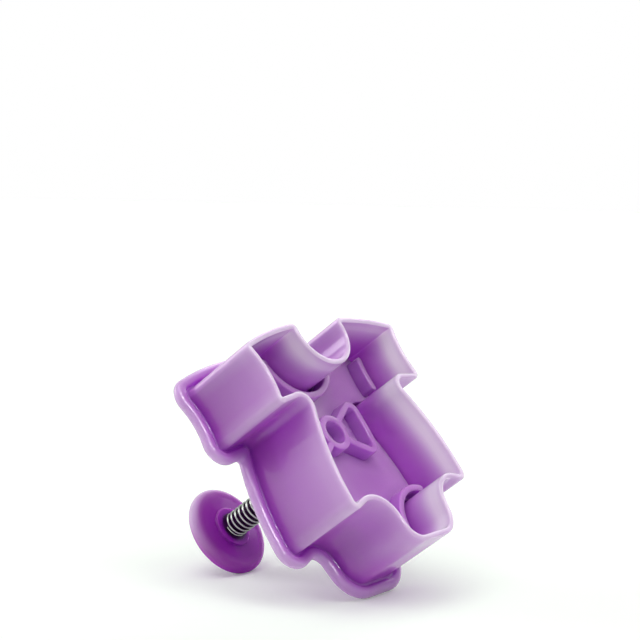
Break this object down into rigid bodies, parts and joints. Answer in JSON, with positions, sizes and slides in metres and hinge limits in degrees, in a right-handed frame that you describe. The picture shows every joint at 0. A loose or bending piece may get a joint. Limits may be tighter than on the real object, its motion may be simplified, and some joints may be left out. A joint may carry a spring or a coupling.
{
  "type": "plunger cutter",
  "caption": "Spring-loaded plunger cutter: a walled bodysuit outline with a rolled flange, a sliding stamp that prints collar, cuffs, leg bands and a bow, and a round push knob.",
  "frame": {"origin": "middle of the flange's outline, in the plane of the cutting edge that the part stands on", "axes": "+Z from the cutting edge up to the knob; +Y towards the collar; +X towards one sleeve"},
  "size_m": [0.0658, 0.0658, 0.0569],
  "materials": {
    "shell_plastic": "glossy milky lilac, deeper violet where it is thick",
    "stamp_plastic": "satin milky violet",
    "knob_plastic": "glossy deep violet",
    "spring_steel": "bright drawn wire"
  },
  "bodies": {
    "cutter": {"cutter_shell": "shell_plastic", "return_spring": "spring_steel"},
    "plunger": {"plunger_knob": "knob_plastic", "stamp_plate": "stamp_plastic"}
  },
  "joints": [
    {"name": "plunger_slide", "type": "slide", "parent": "cutter", "child": "plunger", "axis": [0, 0, -1], "range_m": [0, 0.012], "stiffness_N_per_m": 1300, "springref_m": -0.003, "deforming": ["return_spring"]}
  ]
}
